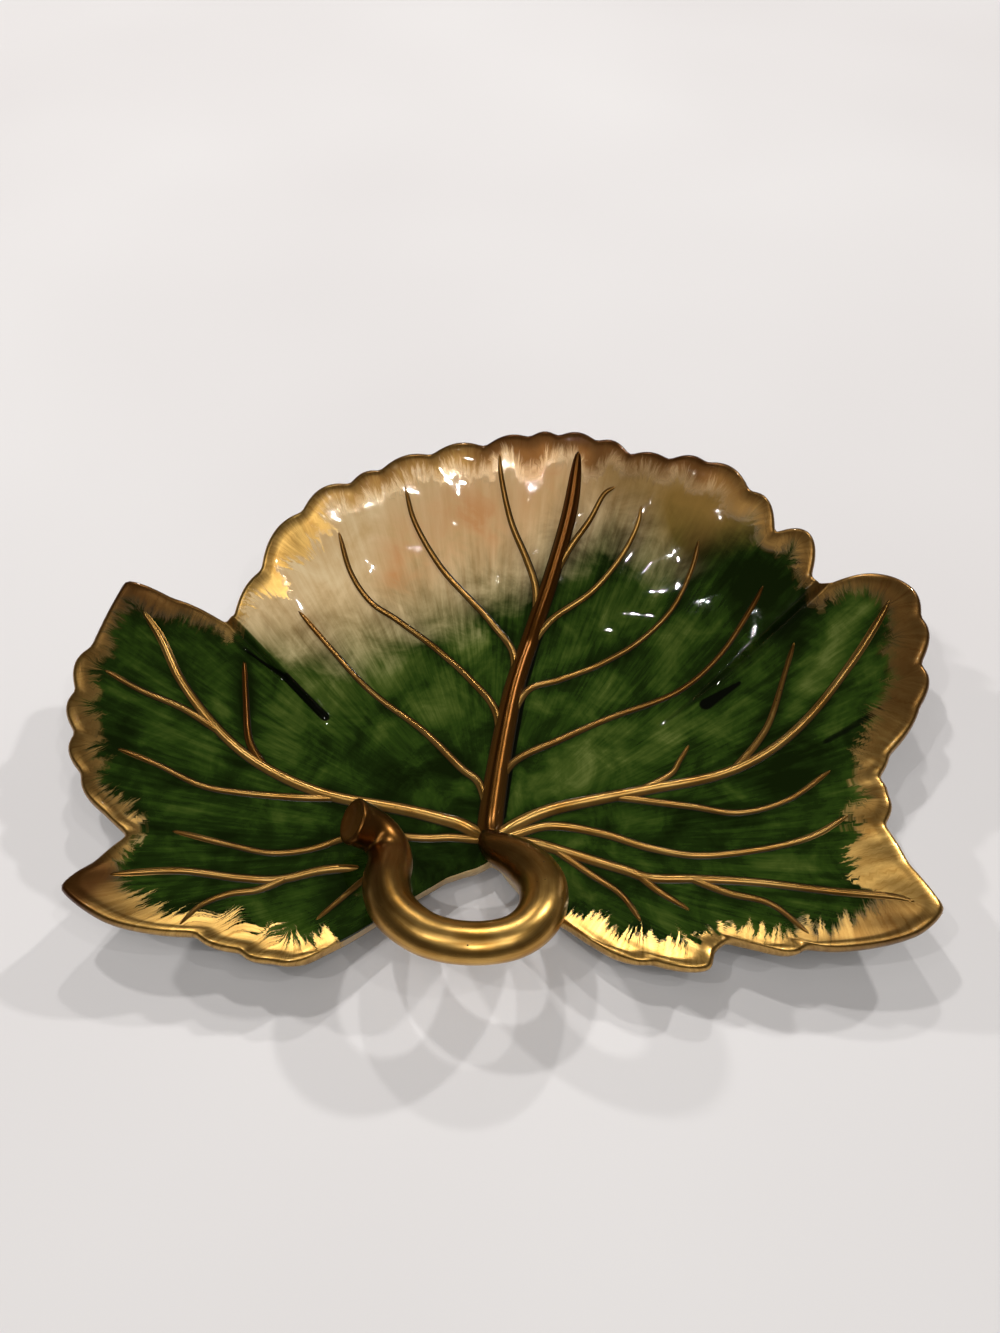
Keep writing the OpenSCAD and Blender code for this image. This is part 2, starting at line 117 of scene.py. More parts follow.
# Dabs of colour laid over the washes: centre, half length, half width, heading and strength
BLUSH = [(-14, 80, 17, 13, 0, 0.9), (-37, 66, 10, 12, 0, 0.75), (14, 90, 12, 9, 0, 0.7),
         (-40, 57, 7, 4, 20, 0.6), (38, 88, 12, 9, 0, 0.3)]
UMBER = [(58, 82, 20, 13, -30, 0.9), (36, 92, 13, 9, 0, 0.55), (80, 68, 14, 12, -40, 1),
         (66, 66, 14, 9, -30, 0.9), (92, 62, 12, 9, -60, 0.8)]
SHADE = [
    (77, 52, 15, 10, -50, -0.9), (88, 41, 11, 10, 0, -1), (99, 36, 6, 8, 0, -0.8),
    (-102, 31, 9, 5, -30, -0.5), (-95, 13, 7, 4, -20, -0.5), (-87, 12, 14, 2.2, 95, -0.8),
    (86, -19, 9, 5, 25, -1), (-75.5, 46, 3.2, 2.2, 130, -0.5), (-82, 34.5, 4.5, 1.2, 120, -0.5),
    (-39, 59, 9, 3, 20, -0.2), (-95, 3, 5, 9, 0, 0.5), (-72, -1, 9, 5, -10, 0.45),
    (58, 1, 8, 5, 20, 0.6), (54, 34, 17, 9, -30, 0.45), (113, 35, 13, 8, 50, 0.65),
    (106, 19, 12, 8, 40, 0.65), (77, -50, 14, 7, 0, 0.75), (28, -9, 14, 9, 30, 0.25),
    (-17, 15, 10, 12, 100, 0.35), (-42, -9, 16, 8, 140, -0.7), (-26, -20, 10, 7, 140, -0.5),
    (57, -35, 16, 6, -5, -0.6), (90, -13, 16, 6, 20, -0.8), (-123, -3, 9, 7, 0, -0.5),
    (-70, -36, 16, 5, 0, -0.5), (65, 60, 9, 8, 0, -0.5), (-36, -50, 9, 7, 0, 0.3),
    (-52, 31, 14, 10, 120, 0.3), (30, 15, 14, 8, 60, 0.25), (-104, 17, 8, 4, -60, 0.3),
    (113, 34, 10, 6, 50, 0.4), (44, -62, 16, 6, 0, 0.7), (-42, -9, 9, 7, 0, -0.4),
    (93, 8, 9, 6, 45, 0.8), (-25, -12, 9, 6, 0, -0.4), (-108, -27, 16, 8, 0, -0.45),
    (-95, 9, 7, 7, 0, 0.6), (-78, -60, 12, 4, 0, 0.5), (-117, -4, 8, 10, 0, -0.3)]

# Folds pressed into the leaf and flooded with dark glaze, and lines of dark glaze alone, which have
# no depth: start and end on plan, half width at either end, depth at either, share of dark glaze
FOLDS = [((-89.5, 27.5), (-75.0, 19.0), 0.5, 0.8, 0.6, 0.8, 0.7),
         ((-75.0, 19.0), (-61.5, 6.5), 1.1, 1.6, 0.9, 1.2, 1),
         ((75.5, 17.2), (64.0, 10.8), 0.6, 2.3, 0.05, 0.1, 1),
         ((133.0, 9.0), (98.0, -8.0), 2.2, 1.2, 0, 0, 0.6),
         ((-3.2, -30.0), (-0.4, -9.0), 1.1, 1.1, 0, 0, 0.9),
         ((-0.4, -9.0), (4.3, 19.0), 1.1, 0.9, 0, 0, 0.9),
         ((4.3, 19.0), (10.9, 43.0), 0.9, 0.6, 0, 0, 0.75)]

# Routes of the veins from the junction, in thousandths of the reach to the right and to the back
VEINS = {
    "midrib": [(0, 50), (20, 210), (55, 410), (105, 585), (150, 710), (200, 860), (222, 980)],
    "rib_left": [
        (-60, 40), (-110, 57), (-200, 80), (-355, 107), (-470, 150), (-565, 207), (-645, 280),
        (-720, 370), (-770, 457), (-815, 515)],
    "rib_left_second": [
        (-80, 10), (-143, 7), (-257, 12), (-315, 0), (-385, -30), (-465, -43), (-550, -30),
        (-670, -7)],
    "rib_lower_left": [
        (-85, -20), (-170, -40), (-265, -65), (-355, -80), (-435, -105), (-515, -107),
        (-635, -100), (-765, -120)],
    "rib_right": [
        (60, 45), (135, 80), (245, 107), (360, 130), (515, 157), (630, 207), (730, 285),
        (835, 400), (905, 490), (935, 535)],
    "rib_right_second": [
        (130, 40), (243, 20), (343, -20), (443, -43), (571, -36), (680, -14), (765, 30)],
    "rib_lower_right": [
        (80, 0), (150, -20), (280, -70), (336, -93), (436, -100), (557, -114), (693, -143),
        (800, -164), (843, -179)],
    "midrib_vein_l1": [
        (-25, 145), (-70, 190), (-165, 295), (-295, 400), (-385, 485), (-465, 560)],
    "midrib_vein_l2": [
        (12, 340), (-50, 435), (-130, 520), (-230, 585), (-300, 620), (-350, 680), (-380, 765)],
    "midrib_vein_l3": [(52, 525), (-5, 610), (-55, 660), (-130, 730), (-195, 820), (-220, 895)],
    "midrib_vein_l4": [(112, 690), (90, 757), (50, 840), (25, 930), (20, 980)],
    "midrib_vein_r1": [
        (50, 200), (165, 265), (305, 335), (450, 385), (545, 455), (620, 550), (655, 605)],
    "midrib_vein_r2": [
        (85, 400), (165, 435), (265, 480), (365, 530), (445, 595), (495, 680), (515, 745)],
    "midrib_vein_r3": [(150, 610), (250, 670), (320, 735), (365, 800), (380, 850)],
    "midrib_vein_r4": [(197, 775), (250, 835), (285, 885), (315, 900)],
    "left_vein_1": [(-550, 235), (-570, 335), (-585, 435)],
    "left_vein_2": [(-675, 285), (-720, 305), (-800, 330), (-880, 365)],
    "left_vein_3": [(-420, 98), (-550, 100), (-635, 110), (-730, 150), (-820, 180)],
    "lower_left_vein_1": [(-475, -132), (-530, -145), (-580, -175), (-610, -220)],
    "lower_left_vein_2": [(-260, -95), (-310, -150), (-350, -195)],
    "right_vein_1": [(605, 230), (645, 290), (690, 400), (720, 475)],
    "right_vein_2": [(405, 165), (430, 200), (457, 243)],
    "right_vein_3": [(345, 100), (443, 80), (543, 57), (650, 80), (750, 143)],
    "lower_right_vein_1": [(490, -135), (571, -165), (630, -235)],
    "lower_right_vein_2": [(210, -77), (271, -129), (307, -193)],
    "lower_right_vein_3": [(350, -125), (407, -171)],
}
PARENTS = {"midrib_vein": "midrib", "left_vein": "rib_left", "lower_left": "rib_lower_left",
           "right_vein": "rib_right", "lower_right": "rib_lower_right"}

# The stalk's route from the junction, in shares of the loop's width, its lift and its thickness
STALK = [
    (-0.01, 0.06, 0, 0.34), (0.01, -0.05, 0, 0.62), (0.105, -0.14, 0.11, 0.80),
    (0.24, -0.26, 0.28, 0.94), (0.35, -0.47, 0.50, 1), (0.32, -0.72, 0.78, 0.95),
    (0.16, -0.89, 0.94, 0.86), (-0.11, -0.94, 1, 0.82), (-0.39, -0.87, 0.93, 0.86),
    (-0.605, -0.68, 0.79, 0.94), (-0.67, -0.47, 0.61, 0.98), (-0.662, -0.33, 0.44, 0.97)]
# Its turned-up end, with the rise in shares of the stalk's thickness
STALK_END = [(-0.674, -0.21, 0.02, 0.93), (-0.712, -0.115, 0.02, 0.89),
             (-0.776, -0.058, 0.13, 0.90), (-0.85, -0.038, 0.32, 0.97),
             (-0.925, -0.035, 0.57, 1.02)]


def smooth(t):
    """Three t squared less two t cubed, with t held between 0 and 1."""
    t = np.clip(t, 0, 1)
    return t * t * (3 - 2 * t)


def mix(a, b, t):
    """The value a share t of the way from a to b."""
    return a + (b - a) * t


def table(rows, bearing):
    """Straight-line value at each bearing from rows that go once round."""
    return np.interp(bearing, *np.array(rows, float).T, period=360)


def round_table(rows, bearing):
    """Value at each bearing from rows that go once round: a cubic whose slope at each row is that
    between the rows on either side of it."""
    rows = np.asarray(rows, float)
    turn = np.array([360.0, 0.0])
    around = np.vstack([rows[-2:] - turn, rows, rows[:3] + turn])
    at, value = around.T
    bearing = np.where(bearing < rows[0, 0], bearing + 360, bearing)
    i = np.searchsorted(at, bearing, side="right") - 1
    w = at[i + 1] - at[i]
    t = (bearing - at[i]) / w
    m0 = (value[i + 1] - value[i - 1]) / (at[i + 1] - at[i - 1]) * w
    m1 = (value[i + 2] - value[i]) / (at[i + 2] - at[i]) * w
    rise = value[i + 1] - value[i]
    return value[i] + t * m0 + t**2 * (3 * rise - 2 * m0 - m1) + t**3 * (m0 + m1 - 2 * rise)


def smooth_route(points, steps):
    """Catmull-Rom curve through the points, with that many steps between each two."""
    p = np.asarray(points, float)
    p = np.vstack([2 * p[0] - p[1], p, 2 * p[-1] - p[-2]])
    a, b, c, d = (p[k:len(p) - 3 + k, None, :] for k in range(4))
    t = (np.arange(steps) / steps)[None, :, None]
    curve = (2 * b + (c - a) * t + (2 * a - 5 * b + 4 * c - d) * t**2
             + (3 * b - a - 3 * c + d) * t**3) / 2
    return np.vstack([curve.reshape(-1, p.shape[1]), p[-2]])


def evenly(route, gap):
    """The same route with its points about that gap apart, and the run to each."""
    run = np.concatenate([[0], np.cumsum(np.linalg.norm(np.diff(route, axis=0), axis=1))])
    stops = np.linspace(0, run[-1], max(int(run[-1] / gap), 4))
    return np.stack([np.interp(stops, run, column) for column in route.T], 1), stops


def unit(v):
    """Vectors shortened or lengthened to 1."""
    return v / np.linalg.norm(v, axis=-1, keepdims=True)


def heading_at(bearing):
    """Plan direction at each bearing in degrees."""
    turn = np.radians(bearing)
    return np.stack([np.cos(turn), np.sin(turn)], -1)


def polar(x, y):
    """Bearing in degrees and reach about the vein junction."""
    dx, dy = x - JUNCTION[0], y - JUNCTION[1]
    bearing = np.degrees(np.arctan2(dy, dx))
    return np.where(bearing < FIRST, bearing + 360, bearing), np.hypot(dx, dy)


# Gap between the outline's points; spread of the bell curve that softens it and how far it goes
# each side, both in points
OUTLINE_GAP, BELL_SPREAD, BELL_REACH = 0.25, 4.2, 14


def outline_curve():
    """Bearing and reach of the rim: straight from notch to notch plus a parabola for the swell, set
    out as even plan points and softened by a bell curve about 2 mm wide."""
    rows = np.array(OUTLINE, float)
    rows[:, 1:] /= 1000
    after = np.vstack([rows[1:], rows[0] + [360, 0, 0]])
    t = np.arange(24) / 24
    bearing = mix(rows[:, :1], after[:, :1], t).ravel()
    reach = REACH * (mix(rows[:, 1:2], after[:, 1:2], t) + 4 * rows[:, 2:] * t * (1 - t)).ravel()
    plan = reach[:, None] * heading_at(bearing)
    plan, _ = evenly(np.vstack([plan, plan[:1]]), OUTLINE_GAP)
    plan = plan[:-1]
    steps = np.arange(-BELL_REACH, BELL_REACH + 1)
    bell = np.exp(-(steps / BELL_SPREAD)**2 / 2)
    bell /= bell.sum()
    plan = sum(w * np.roll(plan, s, axis=0) for s, w in zip(steps, bell))
    bearing, reach = polar(*(plan + JUNCTION).T)
    order = np.argsort(bearing)
    return bearing[order], reach[order]


RIM_BEARING, RIM_REACH = outline_curve()


def rim_reach(bearing):
    """Reach of the rim at a bearing."""
    return np.interp(bearing, RIM_BEARING, RIM_REACH, period=360)


def bowl_height(x, y):
    """A flat well, then a wall whose rise follows a power of the distance out and the bearing."""
    t = np.maximum(np.hypot(x, y) - FLOOR_R, 0) / (BOWL_R - FLOOR_R)
    return WELL_Z + BACK_RISE * round_table(RISE, np.degrees(np.arctan2(y, x))) * t**WALL_POWER


def step_height(x, y, spread=1.0):
    """The back lobe's two side edges stand over the side lobes; the step fades inwards."""
    bearing, reach = polar(x, y)
    past_right, past_left = bearing - STEP_RIGHT, STEP_LEFT - bearing
    inside = smooth(past_right / spread / 2 + 0.5) * smooth(past_left / spread / 2 + 0.5)
    outward = smooth((reach / REACH - STEP_FROM) / STEP_FROM)
    middle = smooth(np.minimum(past_right, past_left) / STEP_FADE)
    return LOBE_STEP * inside * outward * (1 - middle)


def line_distance(x, y, start, end):
    """Distance from a plan segment, and how far along it the nearest point lies, from 0 to 1."""
    a, b = np.array(start, float), np.array(end, float)
    d = b - a
    t = np.clip(((x - a[0]) * d[0] + (y - a[1]) * d[1]) / (d @ d), 0, 1)
    return np.hypot(x - a[0] - t * d[0], y - a[1] - t * d[1]), t


# The leaf's edge rolls down over this width to this slope
ROLL_W, ROLL_SLOPE = 4.5, 0.30
# Height and width of the mound where the veins meet, and of the ripple in from the rim
MOUND_H, MOUND_W = 1.3, 4.5
RIPPLE_H, RIPPLE_W = 0.2, 14


def off_junction(reach):
    """0 near the vein junction, where the rim runs close by, rising to 1 at 50 mm from it."""
    return smooth((reach - 20) / 30)


def relief(x, y):
    """Folds as bell-shaped grooves, a slow unevenness of the pressed slab, a small mound where the
    veins meet, a ripple that lifts each scallop, and an edge that rolls down like a parabola."""
    z = 0.16 * np.sin(x / 13 + 0.9) * np.cos(y / 17 - 0.4) + 0.10 * np.sin((x + 1.7 * y) / 21)
    for start, end, half0, half1, deep0, deep1, _ in FOLDS:
        gap, t = line_distance(x, y, start, end)
        z = z - mix(deep0, deep1, t) * np.exp(-(gap / mix(half0, half1, t))**2)
    bearing, reach = polar(x, y)
    z = z + MOUND_H * np.exp(-(reach / MOUND_W)**2)
    edge = rim_reach(bearing) - RIM_T / 2 - reach
    outer = off_junction(reach)
    phase = np.interp(bearing, [row[0] for row in OUTLINE] + [LAST], np.arange(len(OUTLINE) + 1))
    swell = np.sin(np.pi * (phase % 1))**2
    z = z + RIPPLE_H * (swell - 0.5) * smooth(1 - edge / RIPPLE_W) * outer
    return z - outer * ROLL_SLOPE * ROLL_W / 2 * np.clip(1 - edge / ROLL_W, 0, 1)**2


def leaf_height(x, y):
    """Height of the leaf's upper face."""
    return bowl_height(x, y) + step_height(x, y, 0.6) + relief(x, y)


def on_leaf(plan):
    """Plan points lifted on to the leaf's upper face."""
    return np.concatenate([plan, leaf_height(plan[..., 0], plan[..., 1])[..., None]], -1)


def bowl_normal(plan, probe=0.4):
    """Direction square to the bowl, from differences over a short way each side."""
    x, y = plan[..., 0], plan[..., 1]
    sx = (bowl_height(x + probe, y) - bowl_height(x - probe, y)) / (2 * probe)
    sy = (bowl_height(x, y + probe) - bowl_height(x, y - probe)) / (2 * probe)
    return unit(np.stack([-sx, -sy, np.ones_like(sx)], -1))


def ring_mesh(name, rings, poles, painted):
    """A closed surface over rings of points, each joined to the next, and a pole at either end.
    painted gives each attribute as values for the rings' points and for the two poles."""
    m, n = rings.shape[:2]
    points = np.vstack([rings.reshape(-1, 3), poles]) * METRE
    i, j = np.arange(m - 1)[:, None] * n, np.arange(n)
    ahead = (j + 1) % n
    quads = np.stack([i + j, i + n + j, i + n + ahead, i + ahead], -1).reshape(-1, 4)
    last = (m - 1) * n
    caps = np.vstack([np.stack([np.full(n, m * n), j, ahead], 1),
                      np.stack([np.full(n, m * n + 1), last + ahead, last + j], 1)])
    corners = np.concatenate([quads.ravel(), caps.ravel()])
    starts = np.concatenate([np.arange(len(quads)) * 4, quads.size + np.arange(len(caps)) * 3])
    mesh = bpy.data.meshes.new(name)
    mesh.vertices.add(len(points))
    mesh.vertices.foreach_set("co", points.ravel())
    mesh.loops.add(len(corners))
    mesh.loops.foreach_set("vertex_index", corners)
    mesh.polygons.add(len(starts))
    mesh.polygons.foreach_set("loop_start", starts)
    mesh.polygons.foreach_set("use_smooth", np.ones(len(starts), bool))
    for label, (values, ends) in painted.items():
        flat = np.asarray(values, np.float32)
        wide = flat.ndim == 3
        flat = np.vstack([flat.reshape(m * n, -1), np.asarray(ends, np.float32).reshape(2, -1)])
        layer = mesh.attributes.new(label, "FLOAT_VECTOR" if wide else "FLOAT", "POINT")
        layer.data.foreach_set("vector" if wide else "value", flat.ravel())
    mesh.update(calc_edges=True)
    mesh.validate()
    return mesh


def placed(name, data):
    """A new object of the scene."""
    thing = bpy.data.objects.new(name, data)
    bpy.context.scene.collection.objects.link(thing)
    return thing


def add_piece(mesh, finish, node):
    """The mesh as a piece of the fixed body that stands for a node of the solids."""
    piece = placed(mesh.name, mesh)
    mesh.materials.append(finish)
    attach(piece, "root")
    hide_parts(node)
    return piece


def tint(code):
    """An sRGB hex colour as linear red, green, blue and alpha."""
    share = np.array([int(code[k:k + 2], 16) for k in (1, 3, 5)]) / 255
    linear = np.where(share <= 0.04045, share / 12.92, ((share + 0.055) / 1.055)**2.4)
    return (*map(float, linear), 1.0)


def add(tree, kind, links=(), stops=(), **settings):
    """Adds a node: its settings, its inputs by name or number as a value or another node's output,
    and the stops of a ramp as share and colour."""
    node = tree.nodes.new(kind)
    for key, value in settings.items():
        setattr(node, key, value)
    for key, value in dict(links).items():
        if isinstance(value, bpy.types.NodeSocket):
            tree.links.new(value, node.inputs[key])
        else:
            node.inputs[key].default_value = value
    for k, (share, colour) in enumerate(stops):
        stop = node.color_ramp.elements[k] if k < 2 else node.color_ramp.elements.new(share)
        stop.position = share
        stop.color = tint(colour)
    return node


def new_material(name):
    """An empty node material and its tree."""
    material = bpy.data.materials.new(name)
    material.use_nodes = True
    material.node_tree.nodes.clear()
    return material, material.node_tree


def surfaced(material, sockets):
    """The material with a shader that has those sockets set or linked."""
    tree = material.node_tree
    shader = add(tree, "ShaderNodeBsdfPrincipled", sockets)
    tree.links.new(shader.outputs[0], add(tree, "ShaderNodeOutputMaterial").inputs[0])
    return material


def painted_on(tree, name, output="Fac"):
    """What a mesh attribute gives: one number, or with "Vector" its three."""
    return add(tree, "ShaderNodeAttribute", attribute_name=name).outputs[output]


def split(tree, vector):
    """The three numbers of a vector."""
    return add(tree, "ShaderNodeSeparateXYZ", {0: vector}).outputs


def stretched(tree, place, scales):
    """A place with each of its three coordinates scaled."""
    return add(tree, "ShaderNodeVectorMath", {0: place, 1: scales}, operation="MULTIPLY").outputs[0]


def noise(tree, place, scale, detail, roughness=0.5, distortion=0.0):
    """Cloudy noise with about that many marks to the unit of the place."""
    return add(tree, "ShaderNodeTexNoise", {
        "Vector": place, "Scale": scale, "Detail": detail, "Roughness": roughness,
        "Distortion": distortion}).outputs["Fac"]


def sums(tree, operation, *values, **settings):
    """A sum worked out from numbers and other nodes' outputs."""
    node = add(tree, "ShaderNodeMath", enumerate(values), operation=operation, **settings)
    return node.outputs[0]


def scaled(tree, value, low, high, least=0.0, most=1.0, curve="LINEAR"):
    """A value carried from the range low to high into the range least to most, and held there."""
    return add(tree, "ShaderNodeMapRange", {
        "Value": value, "From Min": low, "From Max": high, "To Min": least, "To Max": most},
        interpolation_type=curve).outputs[0]


def average(tree, share, first, second):
    """Two numbers mixed, with that share of the second."""
    return add(tree, "ShaderNodeMix", {0: share, 2: first, 3: second}).outputs[0]


def blend(tree, share, first, second):
    """Two colours mixed, with that share of the second."""
    return add(tree, "ShaderNodeMix", {0: share, 6: first, 7: second}, data_type="RGBA").outputs[2]


def ramp(tree, share, *stops):
    """The colour that stops of share and colour give."""
    return add(tree, "ShaderNodeValToRGB", {0: share}, stops).outputs[0]


def bumped(tree, height, strength, distance):
    """Direction of a face with small relief on it, its full height in metres."""
    return add(tree, "ShaderNodeBump", {
        "Height": height, "Strength": strength, "Distance": distance}).outputs[0]


def glaze_and_gilding():
    """Lead-style gloss glaze brushed and dabbed on a fired leaf, olive green over most of it and
    washed with cream, blush and umber at the back, under satin gilding brushed in from the rim: a
    deep wet-looking colour with soft brush marks, and brown gold that ends in ragged strokes."""
    material, tree = new_material("brushed_glaze_and_gilding")
    polar_at = painted_on(tree, "stroke", "Vector")
    rim_at = painted_on(tree, "rim_stroke", "Vector")
    gilt_mm, cream_mm, pool = split(tree, painted_on(tree, "paint", "Vector"))
    blush, umber, shade = split(tree, painted_on(tree, "dabs", "Vector"))
    halo = painted_on(tree, "vein_halo")
    brown_gold_and_shade = painted_on(tree, "brown_gold_and_shade")
    place = add(tree, "ShaderNodeTexCoord").outputs["Object"]
    # marks of a soft brush 2 mm wide and 20 mm long, which fade where they crowd at the junction
    stroke = noise(tree, stretched(tree, polar_at, (0.85, 0.045, 1)), 1.0, 5.0, 0.62)
    # thin and thick places of the glaze, 15 mm across
    cloud = noise(tree, place, 65.0, 7.0, 0.6, 0.6)
    reach = split(tree, polar_at)["Y"]
    depth = average(tree, scaled(tree, reach, 15.0, 75.0, 0.0, 0.42), cloud, stroke)
    # the green from dark to pale, as the glaze is thick or thin and as it is shaded
    lit = sums(tree, "MULTIPLY_ADD", sums(tree, "ADD", shade, halo), 0.17, depth)
    green = ramp(tree, lit, (0.31, "#0c1702"), (0.74, "#606a34"), (0.42, "#172707"),
                 (0.50, "#25390d"), (0.60, "#3c4c1a"))
    cream = ramp(tree, depth, (0.30, "#c89f66"), (0.68, "#f0d8aa"))
    # blush in patches, then umber, then green-black dabs
    patchy = scaled(tree, cloud, 0.30, 0.58)
    cream = blend(tree, sums(tree, "MULTIPLY", blush, patchy), cream, tint("#cf9058"))
    cream = blend(tree, umber, cream, tint("#8a6a35"))
    dark = sums(tree, "MULTIPLY", shade, -1.0, use_clamp=True)
    cream = blend(tree, dark, cream, tint("#1a1a07"))
    # the cream runs out over 35 mm, in soft patches
    patches = sums(tree, "SUBTRACT", average(tree, 0.25, cloud, stroke), 0.5)
    ragged = sums(tree, "MULTIPLY_ADD", patches, 38.0, cream_mm)
    cream_share = scaled(tree, ragged, -24.0, 11.0, curve="SMOOTHSTEP")
    glaze = blend(tree, cream_share, green, cream)
    # glaze gathered so thick that it is nearly black
    pool = scaled(tree, pool, 0.25, 0.7, curve="SMOOTHSTEP")
    glaze = blend(tree, pool, glaze, tint("#040602"))
    # hairs of the gilder's brush in clumps 2 mm wide, which run out past the band by up to 6 mm
    # where the gold is bright and 3 mm where it is brown
    hair = noise(tree, stretched(tree, rim_at, (0.55, 0.05, 1)), 1.0, 5.0, 0.75)
    run_out = scaled(tree, brown_gold_and_shade, 0.0, 1.0, 32.0, 14.0)
    gilt = sums(tree, "MULTIPLY_ADD", sums(tree, "SUBTRACT", hair, 0.5), run_out, gilt_mm)
    # the brown gold, partly painted shade, ends softly, the bright gold sharply
    worn = sums(tree, "MULTIPLY_ADD", brown_gold_and_shade, 3.5, 0.6)
    gilt = scaled(tree, gilt, sums(tree, "SUBTRACT", 0.0, worn), worn, curve="SMOOTHSTEP")
    gold = ramp(tree, hair, (0.30, "#8f6426"), (0.70, "#dcb468"))
    # painted shade: brown laid on the gold where it would mirror the dim room, besides brown
    # gilding
    gold = blend(tree, brown_gold_and_shade, gold, tint("#4c2a08"))
    # the brown gold, partly painted shade, is a little less metallic
    metal = scaled(tree, brown_gold_and_shade, 0.0, 1.0, 1.0, 0.78)
    # the glaze's slow unevenness, 9 mm across
    ripple = noise(tree, place, 110.0, 1.0)
    return surfaced(material, {
        "Base Color": blend(tree, gilt, glaze, gold),
        "Metallic": sums(tree, "MULTIPLY", gilt, metal),
        "Roughness": scaled(tree, gilt, 0.0, 0.35, 0.02, 0.30),
        "Specular IOR Level": 0.3, "Coat Weight": 0.25, "Coat Roughness": 0.02,
        "Normal": bumped(tree, ripple, 1.0, 0.00012)})


def burnished_gilding():
    """Gilding fired on raised clay and rubbed along its length: satin brown gold, the brown partly
    painted shade, with faint wiping lines, small worn specks, painted shade down a vein's flanks
    and in the hollow of the stalk's cut end, and a dark band along the foot of a vein."""
    material, tree = new_material("burnished_gilding")
    place = add(tree, "ShaderNodeTexCoord").outputs["Object"]
    foot = painted_on(tree, "foot_share")
    brown_gold_and_shade = painted_on(tree, "brown_gold_and_shade")
    along = painted_on(tree, "wipe", "Vector")
    # wiping lines 1 mm wide and 15 mm long
    wipe = noise(tree, stretched(tree, along, (0.07, 0.8, 1)), 1.0, 3.0, 0.6)
    # thicker and thinner gold, 10 mm across
    cloud = noise(tree, place, 100.0, 3.0)
    rub = average(tree, 0.5, wipe, cloud)
    gold = ramp(tree, rub, (0.32, "#a4732a"), (0.68, "#ddb366"))
    gold = blend(tree, brown_gold_and_shade, gold, tint("#61390e"))
    # worn specks under 1 mm
    worn = scaled(tree, noise(tree, place, 900.0, 1.0), 0.74, 0.80)
    # the dark: worn specks, and from foot_share painted shade on flanks, in the cut end and the
    # skirt
    dark = sums(tree, "MAXIMUM", worn, foot)
    return surfaced(material, {
        "Base Color": blend(tree, dark, gold, tint("#1a1206")),
        "Metallic": sums(tree, "SUBTRACT", 1.0, dark),
        "Roughness": scaled(tree, rub, 0.0, 1.0, 0.25, 0.36),
        "Specular IOR Level": 0.1, "Coat Weight": 0.12, "Coat Roughness": 0.22,
        "Normal": bumped(tree, cloud, 0.3, 0.0006)})


def biscuit_clay():
    """Unglazed biscuit clay, wiped clean before firing: a matt cream, grey where it has stood."""
    material, tree = new_material("unglazed_biscuit_clay")
    place = add(tree, "ShaderNodeTexCoord").outputs["Object"]
    # sandy grain drawn at 1 mm so that it shows
    grain = noise(tree, place, 1000.0, 3.0)
    # grey wear in patches 11 mm across
    wear = noise(tree, place, 90.0, 5.0, 0.65)
    return surfaced(material, {
        "Base Color": ramp(tree, wear, (0.35, "#a89a82"), (0.65, "#dcd0b8")),
        "Roughness": 0.85, "Normal": bumped(tree, grain, 0.4, 0.0003)})


GLAZE = glaze_and_gilding()
GILDING = burnished_gilding()
BISCUIT = biscuit_clay()

COLUMNS, TOP_ROWS, UNDER_ROWS = 640, 118, 22
RIM_TURNS = np.array([15, 35, 55, 75, 95, 120, 145])
# How far the leaf is drawn in from the solids' rim, so that its bumps stay inside their box
INSET = 0.3
# Power of the rows' shares of the way out, so that they lie closer towards the rim, and the share
# of the underside's outermost row
ROW_POWER, UNDER_EDGE = 0.8, 0.985
# Share of the leaf's columns that each bearing has and that a step has besides, against 1 for each
# millimetre of rim, and a step's spread in degrees
EVEN_SHARE, STEP_SHARE, STEP_SPREAD = 0.02, 0.14, 1.5
# Turn of the rim up to which it is painted as the face is
PAINTED_TURN = 140
# Bands in millimetres where there is none, for the gilding and the cream
NO_GILT, NO_CREAM = -9.0, -99.0
# Darker green beside a vein and in from the rim: strength and width of each
VEIN_SHADE, VEIN_SHADE_W, RIM_SHADE, RIM_SHADE_W = 0.75, 4.5, 0.5, 16
# Slant of the gilder's strokes, the bearings of the rim between which they have it, and the degrees
# over which it sets in and dies away
SLANT, SLANT_FROM, SLANT_TO, SLANT_IN, SLANT_OUT = 1.2, 184, 219, 6, 5


def leaf_columns():
    """Bearings of the leaf's columns, set closer where the rim runs far and at the two steps."""
    fine = np.linspace(FIRST, LAST, (LAST - FIRST) * 40 + 1)
    reach = rim_reach(fine)
    run = np.hypot(*np.diff(reach[:, None] * heading_at(fine), axis=0).T)
    middle = (fine[1:] + fine[:-1]) / 2
    steps = sum(np.exp(-((middle - step) / STEP_SPREAD)**2) for step in (STEP_RIGHT, STEP_LEFT))
    weight = np.concatenate([[0], np.cumsum(run + EVEN_SHARE + STEP_SHARE * steps)])
    return np.interp(np.linspace(0, weight[-1], COLUMNS, endpoint=False), weight, fine)


def nearest(plan, line):
    """Distance of plan points from a line's points and the number of the nearest, in blocks."""
    flat, shape = plan.reshape(-1, 2), plan.shape[:-1]
    near, at = [], []
    for block in np.array_split(flat, 60):
        gap = np.hypot(block[:, :1] - line[:, 0], block[:, 1:] - line[:, 1])
        k = gap.argmin(1)
        near.append(gap[np.arange(len(k)), k])
        at.append(k)
    return np.concatenate(near).reshape(shape), np.concatenate(at).reshape(shape)


def dabs(rows, x, y):
    """Sum of bell-shaped dabs, each turned to its heading."""
    total = np.zeros_like(x)
    for cx, cy, long, wide, heading, strength in rows:
        c, s = np.cos(np.radians(heading)), np.sin(np.radians(heading))
        u, v = (x - cx) * c + (y - cy) * s, (y - cy) * c - (x - cx) * s
        total += strength * np.exp(-(u / long)**2 - (v / wide)**2)
    return total


